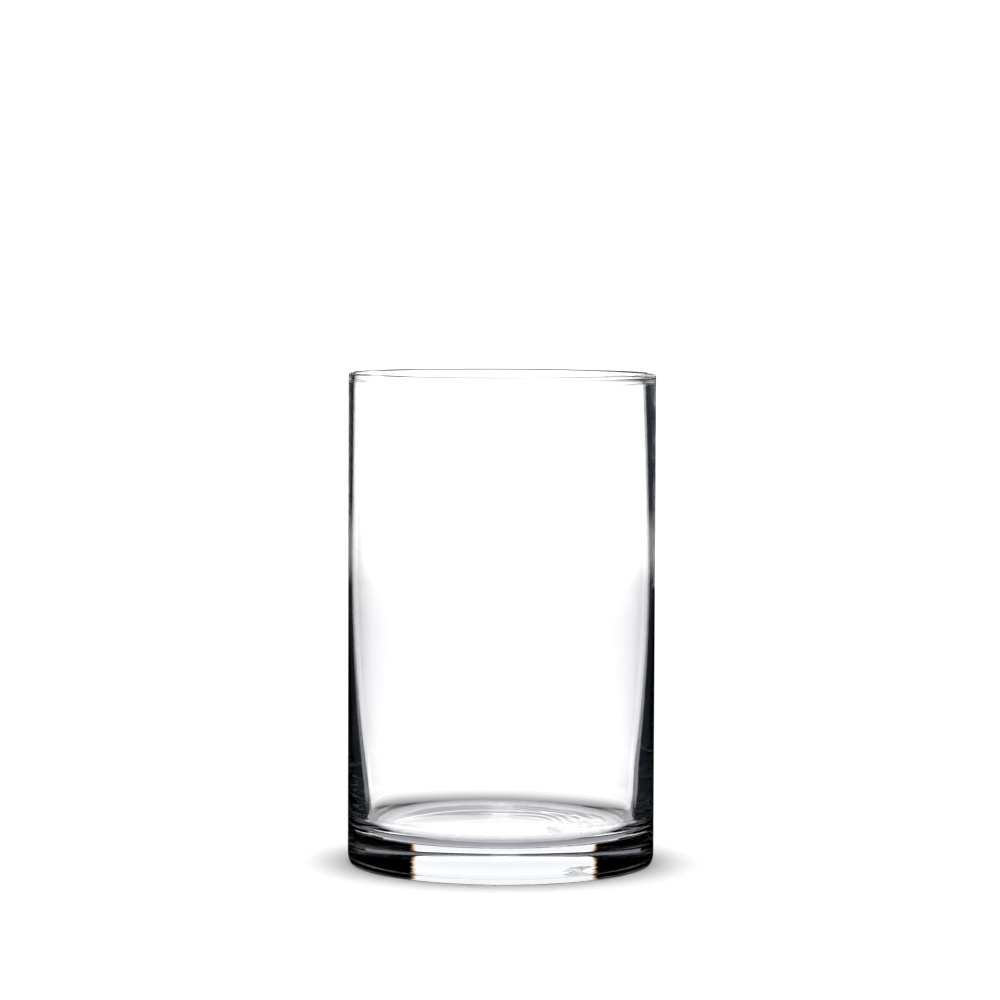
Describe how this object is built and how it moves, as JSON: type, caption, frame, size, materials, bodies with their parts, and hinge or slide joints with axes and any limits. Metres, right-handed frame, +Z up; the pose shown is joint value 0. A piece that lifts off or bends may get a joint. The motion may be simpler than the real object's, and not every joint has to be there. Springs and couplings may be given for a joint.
{
  "type": "glass cylinder vase",
  "caption": "Straight-sided open cylinder vase of clear glass with a thick solid base, a fire-polished lip and a blank label under the base.",
  "frame": {"origin": "on the vase's axis, at the level of the flat foot ring that it stands on", "axes": "+Z up the vase's axis towards its open mouth, -Y towards the viewer"},
  "size_m": [0.127, 0.127, 0.2032],
  "materials": {
    "clear_glass": "fire-polished, clear",
    "white_paper": "uncoated, matte"
  },
  "bodies": {
    "root": {"glass_vessel": "clear_glass", "underside_label": "white_paper"}
  },
  "joints": []
}
